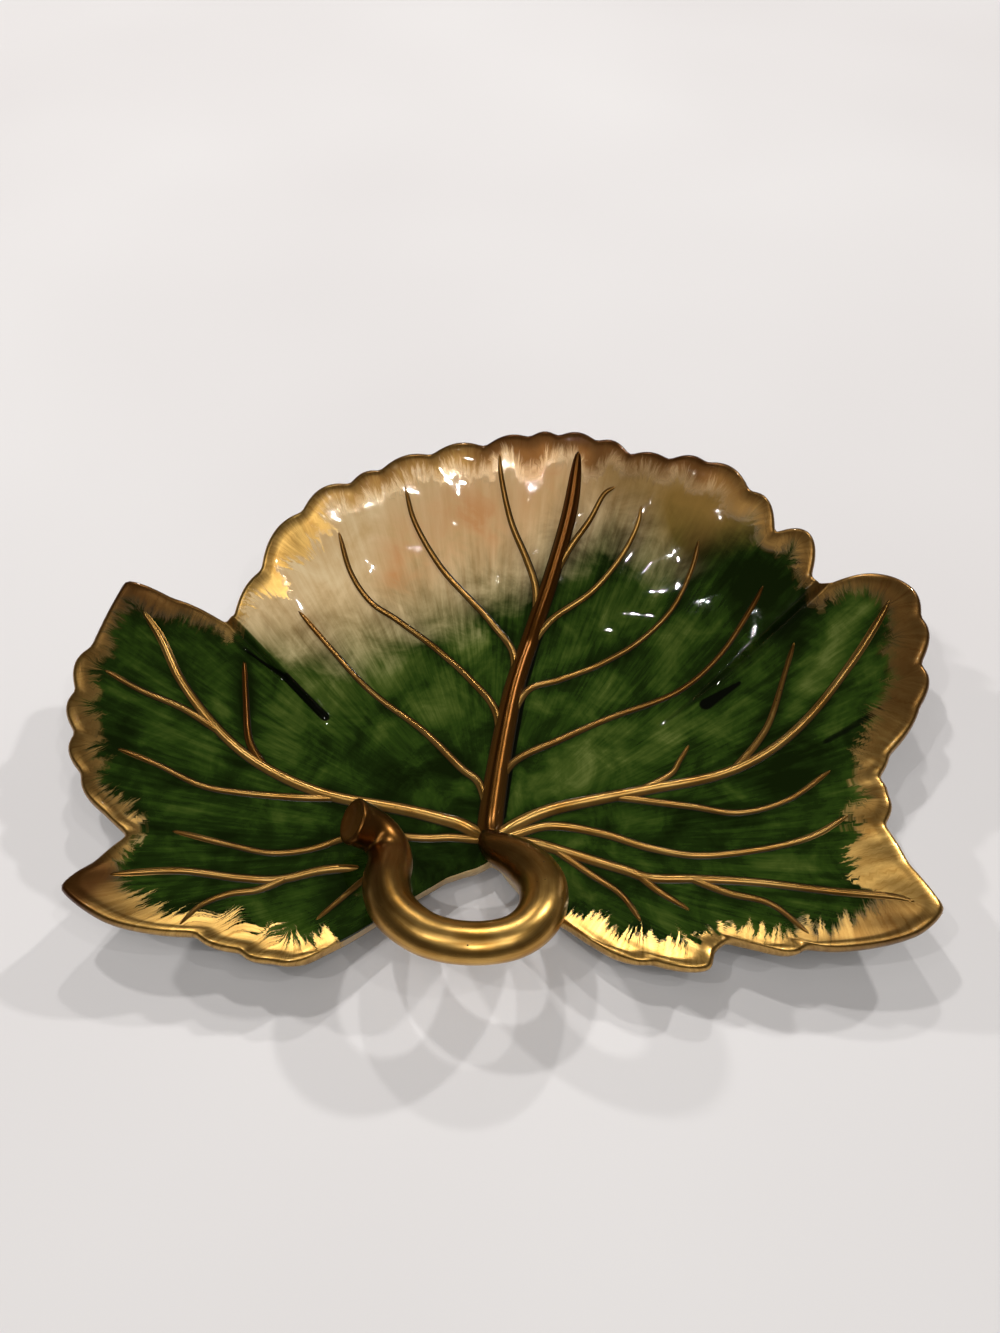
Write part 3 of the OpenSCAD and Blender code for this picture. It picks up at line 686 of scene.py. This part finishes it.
def leaf_piece(veins):
    """Rows from the junction out to the rim, over the half round of the rim and back underneath, at
    the wall's thickness square to the bowl. The gilding's band is its width less the distance from
    the rim, or that of a small spot where the veins meet, and the cream's is the reach past its
    table. The glaze darkens towards the veins and the rim."""
    bearing = leaf_columns()
    heading = heading_at(bearing)
    inner = (rim_reach(bearing) - RIM_T / 2 - INSET)[:, None]

    def plan_at(share):
        return JUNCTION + heading * inner * share[:, None, None]

    top = plan_at((np.arange(1, TOP_ROWS + 1) / TOP_ROWS)**ROW_POWER)
    under_share = np.arange(UNDER_ROWS, 0, -1) / UNDER_ROWS * UNDER_EDGE
    under = plan_at(under_share)
    edge = plan_at(np.ones(1))[0]
    normal = bowl_normal(edge)
    slope = -(normal[:, :2] * heading).sum(1) / normal[:, 2]
    outward = unit(np.concatenate([heading, slope[:, None]], 1))
    roll = np.arctan(ROLL_SLOPE) * off_junction(inner)
    normal, outward = (normal * np.cos(roll) + outward * np.sin(roll),
                       outward * np.cos(roll) - normal * np.sin(roll))
    curl = np.radians(RIM_TURNS)[:, None, None]
    rim = (on_leaf(edge) + outward * np.sin(curl) * RIM_T / 2
           - normal * (1 - np.cos(curl)) * RIM_T / 2)
    wall = mix(WALL_T, RIM_T, smooth(3 * under_share - 2))[:, None, None]
    lower = on_leaf(under) - bowl_normal(under) * wall
    rings = np.concatenate([on_leaf(top), rim, lower])
    centre = on_leaf(JUNCTION)
    poles = np.stack([centre, centre - [0, 0, WALL_T]])

    line = JUNCTION + RIM_REACH[:, None] * heading_at(RIM_BEARING)
    line, run = evenly(np.vstack([line, line[:1]]), 0.6)
    line, run = line[:-1], run[:-1]
    line_bearing, _ = polar(*line.T)
    near, at = nearest(top, line)
    x, y = top[..., 0], top[..., 1]
    bearings, reach = polar(x, y)
    rim_bearing = line_bearing[at]
    # 2 mm in radius, where the veins meet
    spot = 6 - 3 * reach
    gilt = np.maximum(table(GILT, rim_bearing) - np.maximum(near - RIM_T / 2, 0), spot)
    cream = reach - REACH * table(CREAM, bearings)
    pool = np.zeros_like(reach)
    for start, end, half0, half1, _, _, dark in FOLDS:
        gap, t = line_distance(x, y, start, end)
        pool = np.maximum(pool, dark * np.exp(-(gap / mix(half0, half1, t))**4))
    to_vein, _ = nearest(top, np.vstack([route[::2] for route, _ in veins.values()]))
    # the green is thin beside the cream, left of the midrib
    shade = dabs(SHADE, x, y) + 0.7 * smooth((cream + 50) / 35) * smooth((bearings - 82) / 12)
    halo = (-VEIN_SHADE * np.exp(-(to_vein / VEIN_SHADE_W)**2)
            - RIM_SHADE * smooth(1 - near / RIM_SHADE_W))
    # the brush was drawn slantwise along the front of the lower left lobe
    slant = (SLANT * near * smooth((rim_bearing - SLANT_FROM) / SLANT_IN)
             * smooth((SLANT_TO - rim_bearing) / SLANT_OUT))

    rows = len(rings)
    turns = np.concatenate([RIM_TURNS, np.full(UNDER_ROWS, 180)])[:, None] * np.ones(COLUMNS)
    at_rim, painted_too = table(GILT, bearing), turns < PAINTED_TURN
    gilt = np.vstack([gilt, np.where(painted_too, np.clip(at_rim * 2, -3, 4), NO_GILT)])
    cream = np.vstack([cream, np.where(painted_too & (at_rim < 0), 40.0, NO_CREAM)])
    blank = np.zeros((rows - TOP_ROWS, COLUMNS))
    reach_all = np.hypot(rings[..., 0] - JUNCTION[0], rings[..., 1] - JUNCTION[1])
    # the underside's brush marks are others
    side = np.where(np.arange(rows)[:, None] < TOP_ROWS + 4, 0, 7) * np.ones(COLUMNS)
    along = np.vstack([run[at] - slant, blank + np.interp(bearing, line_bearing, run)])
    inward = np.vstack([near, blank])
    # brown of the rim's gold, partly painted shade, and none where a highlight is painted
    brown_gold_and_shade = np.vstack([table(BROWN_GOLD_AND_SHADE, rim_bearing) * 0.95, blank + table(BROWN_GOLD_AND_SHADE, bearing)])
    colours = [np.vstack([np.clip(dabs(BLUSH, x, y), 0, 1), blank]),
               np.vstack([np.clip(dabs(UMBER, x, y), 0, 1), blank]),
               np.vstack([np.clip(shade, -1, 1), blank - 0.4])]
    mesh = ring_mesh("pressed_leaf", rings, poles, {
        "stroke": (np.stack([bearing + 0 * reach_all, reach_all, side], -1),
                   [[0, 0, 0], [0, 0, 7]]),
        "rim_stroke": (np.stack([along, inward, 0 * inward], -1), np.zeros((2, 3))),
        "paint": (np.stack([gilt, cream, np.vstack([pool, blank])], -1),
                  [[4, NO_CREAM, 0], [-50, NO_CREAM, 0]]),
        "vein_halo": (np.vstack([halo, blank - 0.5]), [0, 0]),
        "brown_gold_and_shade": (brown_gold_and_shade, [0.3, 0.3]),
        "dabs": (np.stack(colours, -1), np.zeros((2, 3)))})
    return add_piece(mesh, GLAZE, "leaf_body")


def by_name(rows, node, otherwise):
    """The value of the first row whose start the node's name has, or the other value."""
    return next((value for start, value in rows if node.startswith(start)), otherwise)


def vein_routes():
    """Plan routes in millimetres; a side vein starts on its parent, a little nearer the middle."""
    routes = {node: JUNCTION + REACH * (np.array(way) / 1000) for node, way in VEINS.items()}
    for node, route in routes.items():
        parent = by_name(PARENTS.items(), node, None)
        if parent is None:
            root = JUNCTION + (route[0] - JUNCTION) * 0.2
        else:
            trunk = smooth_route(routes[parent], 8)
            near = np.hypot(*(trunk - route[0]).T).argmin()
            root = trunk[max(near - 5, 0)]
        routes[node] = np.vstack([root, route])
    return {node: evenly(smooth_route(route, 10), 0.8) for node, route in routes.items()}


# Share of brown in the gilding of a vein, by the start of its name, and that of the rest: brown
# gold and painted shade, least on the veins whose gold paints a highlight
VEIN_BROWN = [("midrib_vein_r1", 0.6), ("midrib_vein_r3", 0.05), ("midrib_vein", 0.42),
              ("midrib", 0.93), ("left_vein_1", 0.9), ("rib_left_second", 0.3), ("rib_left", 0.05),
              ("rib_right", 0.15), ("rib_lower", 0.2), ("right_vein_1", 0.45)]
OTHER_BROWN = 0.35

# Width of a vein in the solids, and that of its ridge here as a share of it, by the same start
SOLID_WIDTH = [("midrib_vein", SIDE_W), ("midrib", MIDRIB_W), ("rib", RIB_W)]
VEIN_WIDTH = [("midrib_vein", 0.9), ("midrib", 1), ("rib_left_second", 0.62),
              ("rib_right_second", 0.68), ("rib_lower", 0.82), ("rib", 1)]
OTHER_WIDTH = 0.85

# Heading of the side of a vein where its dark skirt is wider; the skirt's width beside any vein,
# and how much more on that side
WIDE_SKIRT_SIDE = unit(np.array([0.45, 0.9]))
SKIRT_W, SKIRT_MORE = 0.08, 0.3
# Shares of its width that a vein has at root and tip; its height against the solid's, the power of
# its section and the points across it
MIDRIB_TAPER, TAPER = (1.3, 0.8), (1.15, 0.55)
RIDGE_RISE, RIDGE_POWER, RIDGE_POINTS = 1.1, 0.75, 13
# How far the edges of a ridge stand over the leaf, and how far its underside lies sunk in it
RIDGE_OVER, RIDGE_SUNK = 0.05, 1.0
# Depth of rib_lower_left's start under the glaze, the run where it is out, and its rise
HIDDEN_DEPTH, HIDDEN_RUN, HIDDEN_RISE = 2.4, 44, 12


def vein_piece(node, route, run, width):
    """A rounded ridge carried along its route on the leaf: its height over the leaf is a power of
    one less the square of the share across. It thins to half at the tip and runs out there. Its
    flanks darken from the crest down as painted shade, and a dark skirt lies on the leaf beside it,
    wider on the side towards the back. The start of rib_lower_left is sunk under the leaf's glaze."""
    share = run / run[-1]
    ahead = unit(np.gradient(route, axis=0))
    across = np.stack([ahead[:, 1], -ahead[:, 0]], -1)
    tip = np.sqrt(np.clip(1 - (1 - np.clip((run[-1] - run) / (3 * width), 0, 1))**2, 0, 1))
    thick = mix(*(MIDRIB_TAPER if node == "midrib" else TAPER), share)
    half = (width / 2 * thick * mix(0.10, 1, tip))[:, None]
    lean = np.linspace(1, -1, RIDGE_POINTS)
    ridge = half * lean
    height = half * 2 * VEIN_RISE * RIDGE_RISE * np.clip(1 - lean**2, 0, 1)**RIDGE_POWER
    facing = (across @ WIDE_SKIRT_SIDE)[:, None]
    skirt = (SKIRT_W + SKIRT_MORE * np.clip(np.hstack([facing, -facing]), 0, 1)) * tip[:, None]
    left, right = half + skirt[:, :1], -half - skirt[:, 1:]
    offset = np.hstack([left + 0.3, left, ridge, right, right - 0.3, right * 0.5, left * 0.5])
    flat = np.full_like(half, RIDGE_OVER)
    sunk = np.full_like(half, -RIDGE_SUNK)
    lift = np.hstack([sunk * 0.4, flat, height + RIDGE_OVER, flat, sunk * 0.4, sunk, sunk])
    if node == "rib_lower_left":
        lift -= HIDDEN_DEPTH * smooth((HIDDEN_RUN - run) / HIDDEN_RISE)[:, None]
    plan = route[:, None] + across[:, None] * offset[..., None]
    rings = on_leaf(plan) + bowl_normal(plan) * lift[..., None]
    poles = np.stack([rings[0].mean(0), rings[-1].mean(0)])
    aside = np.abs(lean)
    # painted shade: the gold darkens from a lit crest down the flanks, and most at their edges
    painted_flank_shade = 0.5 * smooth((aside - 0.3) / 0.5) + 0.5 * smooth((aside - 0.84) / 0.12)
    foot = np.concatenate([[1, 1], painted_flank_shade, [1, 1, 1, 1]]) * smooth((1 - share) / 0.2)[:, None]
    wipe = np.stack([np.broadcast_to(run[:, None], offset.shape), offset,
                     np.full_like(offset, len(node))], -1)
    # brown of the vein's gold, partly painted shade, rising towards its tip
    brown = by_name(VEIN_BROWN, node, OTHER_BROWN)
    brown = np.clip(brown + 0.4 * share**2, 0, 1)[:, None] * np.ones_like(offset)
    mesh = ring_mesh(node + "_ridge", rings, poles, {
        "foot_share": (foot, [1, 1]), "brown_gold_and_shade": (brown, [0.5, 0.5]),
        "wipe": (wipe, np.zeros((2, 3)))})
    return add_piece(mesh, GILDING, node)


# Share of brown in the stalk's gilding, by the share of the way along it: brown gold, and painted
# shade at the root and along the left arm to the end
STALK_BROWN = [(0, 0.95), (0.15, 0.6), (0.35, 0.15), (0.55, 0.05), (0.68, 0.35), (0.78, 0.75),
               (0.9, 0.9), (1, 0.95)]
# Rings of its cut end: share of the section, how far out of the cut, and share of painted shade
CUT_END = [(0.985, -0.3, 0), (0.95, 0.1, 0), (0.88, 0.3, 0.1), (0.78, 0.15, 0.25),
           (0.66, -0.4, 0.5), (0.50, -1.0, 0.6), (0.32, -1.3, 0.6), (0.15, -1.4, 0.6)]
# How far the stalk's first points lie sunk in the leaf, and the sides of its section
ROOT_SUNK, STALK_SIDES = 0.6, 56
# Its curve is softened over this many points each side, less within this run of either end
SOFT_POINTS, SOFT_RUN = 6, 8


def stalk_piece():
    """An oval tube carried along the stalk's curve, a little uneven, with a softly rolled lip and a
    hollow pressed into its cut end, darkened as painted shade."""
    rows, bend = np.array(STALK, float), np.array(STALK_END, float)
    plan = JUNCTION + LOOP_W * np.vstack([rows, bend])[:, :2]
    thick = np.concatenate([rows[:, 3], bend[:, 3]])
    rest = bowl_height(*plan.T) + step_height(*plan.T) + SEAT + thick * STALK_T / 2
    z = np.concatenate([rest[1] + LOOP_LIFT * rows[:, 2],
                        rest[len(rows)] + SEAT + RIB_W * VEIN_RISE + STALK_T * bend[:, 2]])
    z[:2] = rest[:2] - ROOT_SUNK
    line = smooth_route(np.column_stack([plan, z, thick]), 24)
    route, run = evenly(line, 0.7)
    kernel = np.hanning(2 * SOFT_POINTS + 1)
    kernel /= kernel.sum()
    wide = np.pad(route, ((SOFT_POINTS, SOFT_POINTS), (0, 0)), "edge")
    soft = np.stack([np.convolve(column, kernel, "valid") for column in wide.T], 1)
    keep = smooth(np.minimum(run, run[-1] - run) / SOFT_RUN)[:, None]
    route = mix(route, soft, keep)
    centre, thick = route[:, :3], route[:, 3]
    ahead = unit(np.gradient(centre, axis=0))
    across = unit(np.cross(ahead, [0, 0, 1]))
    up = np.cross(across, ahead)
    turn = np.linspace(0, 2 * np.pi, STALK_SIDES, endpoint=False)
    uneven = (0.985 + 0.012 * np.sin(run / 9)[:, None] * np.cos(2 * turn)
              + 0.008 * np.sin(run / 5 + 1)[:, None])
    side = (thick[:, None] * uneven * np.cos(turn))[..., None] * STALK_W / 2 * across[:, None]
    rise = (thick[:, None] * uneven * np.sin(turn))[..., None] * STALK_T / 2 * up[:, None]
    rings = centre[:, None] + side + rise
    size, out_by, dark = np.array(CUT_END).T
    face = (side + rise)[-1]
    end = centre[-1] + face * size[:, None, None] + ahead[-1] * out_by[:, None, None]
    rings = np.concatenate([rings[:-1], end])
    poles = np.stack([centre[0] - ahead[0] * 0.8, centre[-1] - ahead[-1] * 1.5])
    round_it, along_it = np.ones(STALK_SIDES), np.ones((len(rings), 1))
    # painted shade in the cut end's hollow
    foot = np.concatenate([np.zeros(len(centre) - 1), dark])[:, None] * round_it
    length = np.concatenate([run[:-1], run[-1] + np.arange(1, len(CUT_END) + 1)])
    radius = (STALK_W + STALK_T) / 4
    wipe = np.stack([length[:, None] * round_it, radius * np.sin(turn) * along_it,
                     radius * np.cos(turn) * along_it], -1)
    # brown of the stalk's gold, partly painted shade
    brown = np.interp(length / run[-1], *np.array(STALK_BROWN).T)[:, None] * round_it
    mesh = ring_mesh("rolled_stalk", rings, poles, {
        "foot_share": (foot, [0, 0.6]), "brown_gold_and_shade": (brown, [0.4, 1]),
        "wipe": (wipe, np.zeros((2, 3)))})
    return add_piece(mesh, GILDING, "stem_handle")


def foot_piece():
    """The foot's section turned round the axis: both sides alike, leaning in to rounded edges at
    the resting face, with a small fillet into the leaf."""
    inner = FOOT_R - FOOT_FACE - 2 * FOOT_FLARE
    # distance in from the side, and height
    side = [(-0.5, FOOT_H + 0.3), (0.1, FOOT_H - 0.5), (0.55, FOOT_H / 2), (0.85, 0.7),
            (1.05, 0.28), (1.4, 0.06), (1.8, 0)]
    section = np.array([(inner + step, z) for step, z in side]
                       + [(FOOT_R - step, z) for step, z in side[::-1]]
                       + [(inner + 3, FOOT_H + 0.6)])
    turn = np.linspace(0, 2 * np.pi, 180, endpoint=False)
    r, z = section.T
    loops = np.stack([r[:, None] * np.cos(turn), r[:, None] * np.sin(turn),
                      z[:, None] * np.ones_like(turn)], -1)
    m, n = loops.shape[:2]
    i, j = np.arange(m)[:, None] * n, np.arange(n)
    ahead, below = (j + 1) % n, (i + n) % (m * n)
    quads = np.stack([i + j, below + j, below + ahead, i + ahead], -1).reshape(-1, 4)
    mesh = bpy.data.meshes.new("turned_foot")
    mesh.from_pydata((loops.reshape(-1, 3) * METRE).tolist(), [], quads[:, ::-1].tolist())
    mesh.polygons.foreach_set("use_smooth", np.ones(len(quads), bool))
    mesh.update()
    return add_piece(mesh, BISCUIT, "foot_ring")


def add_lamp(name, place, size, power):
    """A round lamp that faces the dish: its place and diameter in metres and its watts."""
    light = bpy.data.lights.new(name, "AREA")
    light.shape = "DISK"
    light.size = size
    light.energy = power
    light.color = tint("#fffdfa")[:3]
    lamp = placed(name, light)
    lamp.location = place
    away = np.array(place) / np.linalg.norm(place)
    lamp.rotation_euler = (math.acos(away[2]), 0, math.atan2(away[1], away[0]) + math.pi / 2)
    return lamp


# Places in metres of the small spotlights overhead, each a star on the glaze
SPOTS = [
    (0.71, -0.29), (0.61, -0.36), (0.41, -0.53), (0.41, -0.31), (0.50, -0.44), (0.07, -0.68),
    (-0.01, -0.61), (-0.07, -0.40), (0.12, -0.25), (-0.20, -0.45), (-0.38, -0.34), (-0.53, -0.08),
    (-0.43, -0.20), (-0.50, 0.12), (-0.37, 0.23), (-0.19, -0.22), (-0.56, 0.02), (0.28, -0.47),
    (0.34, -0.98)]
SPOT_SIZE, SPOT_WATTS, CEILING = 0.003, 0.16, 1.40

# The other lamps: name, place, diameter, watts, and whether a glossy face shows them
LAMPS = [
    # behind the dish, to throw its shadow forwards
    ("lamp_behind", (-0.49, 0.78, CEILING), 0.08, 6.3, False),
    ("lamp_far_left", (-1.45, 0.80, 0.95), 0.08, 9.5, False),
    ("lamp_far_right", (1.05, 1.00, 1.16), 0.08, 9.5, True),
    ("lamp_far_back", (0.05, 1.36, CEILING), 0.08, 6.5, True),
    # keys for the gilding, small because the glaze mirrors them as stars
    ("key_right", (0.57, -0.15, CEILING), 0.008, 1.2, True),
    ("key_near", (0.24, -0.60, CEILING), 0.008, 0.4, True),
    # keys for the gilding that no part of the glaze mirrors
    ("key_left", (-0.72, -0.25, CEILING), 0.02, 2.2, True),
    ("key_front", (0.0, -0.82, CEILING), 0.02, 3.2, True),
    ("key_front_right", (0.66, -0.60, CEILING), 0.02, 1.2, True)]


# Half the table's width, and the photograph's camera: its place and its tilt off straight down
TABLE_HALF = 4
CAMERA_AT, CAMERA_TILT = (-0.004, -0.178, 0.282), 37


def studio():
    """A pale table, small spotlights overhead, stronger lamps round them, a dim room that pales
    towards the table, and the camera."""
    scene = bpy.context.scene
    scene.view_settings.view_transform = "Standard"

    mesh = bpy.data.meshes.new("table_top")
    corners = [(-1, -1), (1, -1), (1, 1), (-1, 1)]
    mesh.from_pydata([(TABLE_HALF * x, TABLE_HALF * y, 0) for x, y in corners], [], [(0, 1, 2, 3)])
    floor = placed("table_top", mesh)
    material, tree = new_material("pale_table_cloth")
    # a faint change of tone, a third of a metre across
    tone = noise(tree, add(tree, "ShaderNodeTexCoord").outputs["Object"], 3.0, 2.0)
    mesh.materials.append(surfaced(material, {
        "Base Color": ramp(tree, tone, (0.3, "#dbd8d9"), (0.7, "#e3e1e2")), "Roughness": 0.9}))

    for k, (right, back) in enumerate(SPOTS):
        add_lamp("spot_%02d" % k, (right, back, CEILING), SPOT_SIZE, SPOT_WATTS)
    for name, place, size, power, glints in LAMPS:
        add_lamp(name, place, size, power).visible_glossy = glints

    world = bpy.data.worlds.new("dim_room")
    scene.world = world
    world.use_nodes = True
    tree = world.node_tree
    tree.nodes.clear()
    up = split(tree, add(tree, "ShaderNodeTexCoord").outputs["Generated"])["Z"]
    room = add(tree, "ShaderNodeBackground", {
        "Color": tint("#f6ead9"),
        "Strength": scaled(tree, up, 0.0, 0.5, 0.16, 0.04, curve="SMOOTHSTEP")})
    tree.links.new(room.outputs[0], add(tree, "ShaderNodeOutputWorld").inputs[0])

    lens = bpy.data.cameras.new("photo_camera")
    lens.sensor_fit = "HORIZONTAL"
    lens.sensor_width = 36.0
    lens.lens = 36.0
    lens.clip_start = 0.01
    camera = placed("photo_camera", lens)
    camera.location = CAMERA_AT
    camera.rotation_euler = (math.radians(CAMERA_TILT), 0, 0)
    scene.camera = camera


routes = vein_routes()
leaf_piece(routes)
for vein, (vein_route, vein_run) in routes.items():
    vein_piece(vein, vein_route, vein_run,
               by_name(SOLID_WIDTH, vein, SIDE_W) * by_name(VEIN_WIDTH, vein, OTHER_WIDTH))
stalk_piece()
foot_piece()
studio()
